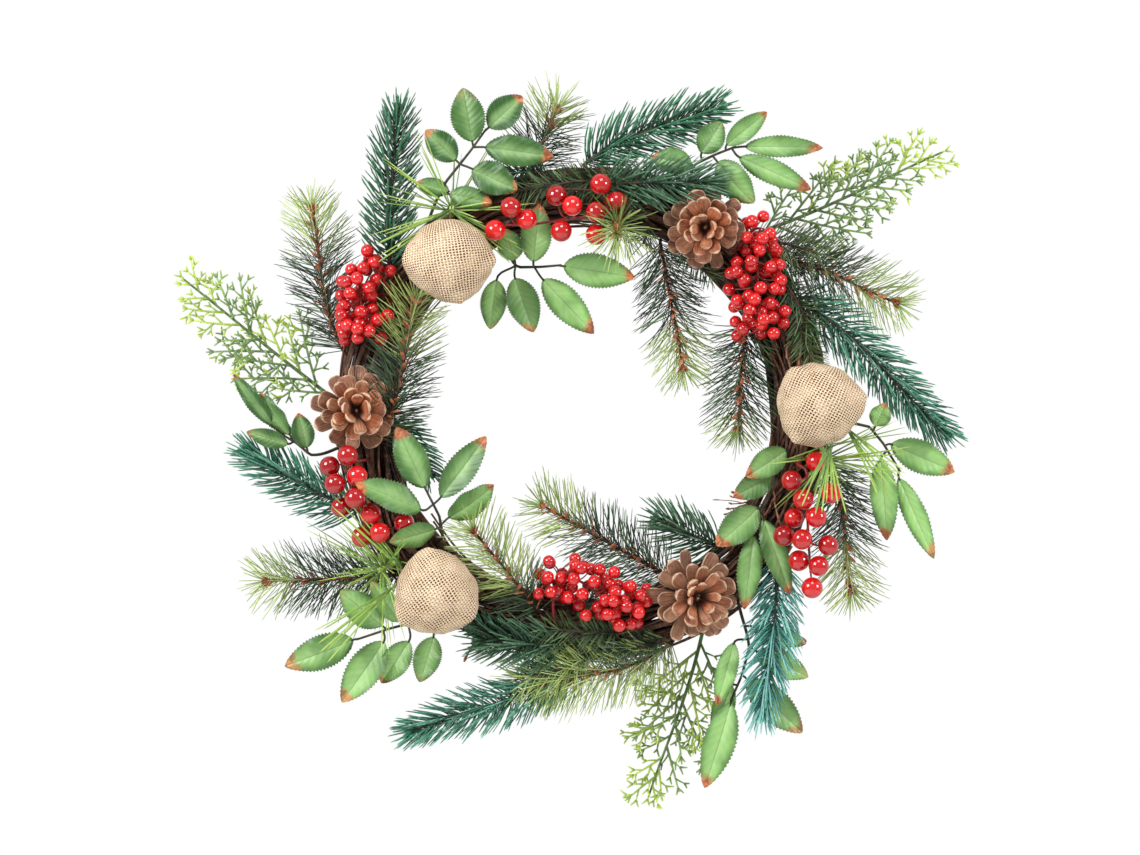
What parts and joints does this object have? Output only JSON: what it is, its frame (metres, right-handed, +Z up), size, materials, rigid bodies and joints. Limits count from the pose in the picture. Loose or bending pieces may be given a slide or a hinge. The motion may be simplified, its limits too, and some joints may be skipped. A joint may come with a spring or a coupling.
{
  "type": "door wreath",
  "caption": "Round door wreath: a ring of twisted vines dressed with fir, pine and cedar sprays, toothed leaves, red berries, pine cones and burlap-wrapped balls.",
  "frame": {"origin": "the inner crest of the ring's top, where a door hook or nail carries the wreath", "axes": "+X across the door to the viewer's right, +Y into the door, +Z up"},
  "size_m": [0.5031, 0.1048, 0.475],
  "materials": {
    "vine": "matt dark bark",
    "pine_cone": "matt, paler rims",
    "burlap": "open plain weave",
    "foam": "white foam",
    "berry": "lacquered",
    "leaf": "satin, brown tips",
    "fir": "moulded, blue-green tips",
    "pine": "satin, yellow-green tips",
    "cedar": "satin, lime tips",
    "grass": "satin"
  },
  "bodies": {
    "root": {"burlap_wrap_1": "burlap", "burlap_wrap_2": "burlap", "burlap_wrap_3": "burlap", "cedar_spray_1": "cedar", "cedar_spray_2": "cedar", "cedar_spray_3": "cedar", "fir_spray_1": "fir", "fir_spray_2": "fir", "fir_spray_3": "fir", "fir_spray_4": "fir", "fir_spray_5": "fir", "fir_spray_6": "fir", "fir_spray_7": "fir", "fir_spray_8": "fir", "fir_spray_9": "fir", "foam_ball_1": "foam", "foam_ball_2": "foam", "foam_ball_3": "foam", "grass_tuft_1": "grass", "grass_tuft_2": "grass", "grass_tuft_3": "grass", "large_berry_pick_1": "berry", "large_berry_pick_2": "berry", "large_berry_pick_3": "berry", "leaf_spray_1": "leaf", "leaf_spray_2": "leaf", "leaf_spray_3": "leaf", "leaf_spray_4": "leaf", "leaf_spray_5": "leaf", "leaf_spray_6": "leaf", "leaf_spray_7": "leaf", "leaf_spray_8": "leaf", "leaf_spray_9": "leaf", "pine_cone_1": "pine_cone", "pine_cone_2": "pine_cone", "pine_cone_3": "pine_cone", "pine_spray_1": "pine", "pine_spray_10": "pine", "pine_spray_11": "pine", "pine_spray_12": "pine", "pine_spray_2": "pine", "pine_spray_3": "pine", "pine_spray_4": "pine", "pine_spray_5": "pine", "pine_spray_6": "pine", "pine_spray_7": "pine", "pine_spray_8": "pine", "pine_spray_9": "pine", "ring_core": "vine", "small_berry_pick_1": "berry", "small_berry_pick_2": "berry", "small_berry_pick_3": "berry", "vine_1": "vine", "vine_2": "vine", "vine_3": "vine", "vine_4": "vine", "vine_5": "vine", "vine_6": "vine", "vine_7": "vine", "vine_8": "vine"}
  },
  "joints": []
}
